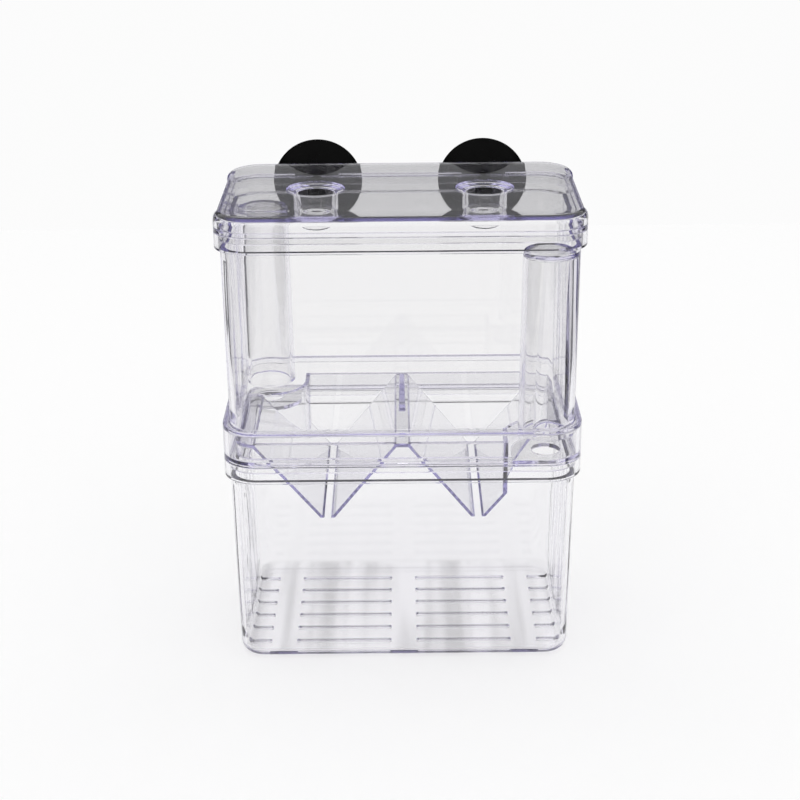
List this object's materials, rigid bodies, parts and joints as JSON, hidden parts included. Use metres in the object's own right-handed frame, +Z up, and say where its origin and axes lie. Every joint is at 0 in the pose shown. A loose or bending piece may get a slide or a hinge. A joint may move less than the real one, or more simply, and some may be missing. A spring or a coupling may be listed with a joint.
{
  "type": "fish breeding box",
  "caption": "Clear hanging breeding box: a slotted tray under an open box, with a drop-in V-trough separator, a lid with feed funnels and suction cups for the glass.",
  "frame": {"origin": "centre of the flat underside of the lower box", "axes": "+X to the right as seen from the front, +Y to the back, towards the tank glass and the suction cups, +Z up"},
  "size_m": [0.151, 0.105, 0.2071],
  "materials": {
    "clear_plastic": "clear polished moulding",
    "cup_rubber": "soft black, satin"
  },
  "bodies": {
    "base_tray": {"lower_box": "clear_plastic"},
    "chamber": {"upper_box": "clear_plastic"},
    "divider": {"separator": "clear_plastic"},
    "cover": {"lid": "clear_plastic"},
    "cup_left": {"suction_cup_left": "cup_rubber"},
    "cup_right": {"suction_cup_right": "cup_rubber"}
  },
  "joints": [
    {"name": "upper_box_lift", "type": "slide", "parent": "base_tray", "child": "chamber", "axis": [0, 0, 1], "range_m": [0, 0.04]},
    {"name": "separator_lift", "type": "slide", "parent": "chamber", "child": "divider", "axis": [0, 0, 1], "range_m": [0, 0.06]},
    {"name": "lid_lift", "type": "slide", "parent": "chamber", "child": "cover", "axis": [0, 0, 1], "range_m": [0, 0.045]},
    {"name": "cup_left_turn", "type": "hinge", "parent": "chamber", "child": "cup_left", "pos_m": [-0.037, 0.04425, 0.1871], "axis": [0, 1, 0], "continuous": true},
    {"name": "cup_right_turn", "type": "hinge", "parent": "chamber", "child": "cup_right", "pos_m": [0.037, 0.04425, 0.1871], "axis": [0, 1, 0], "continuous": true}
  ]
}
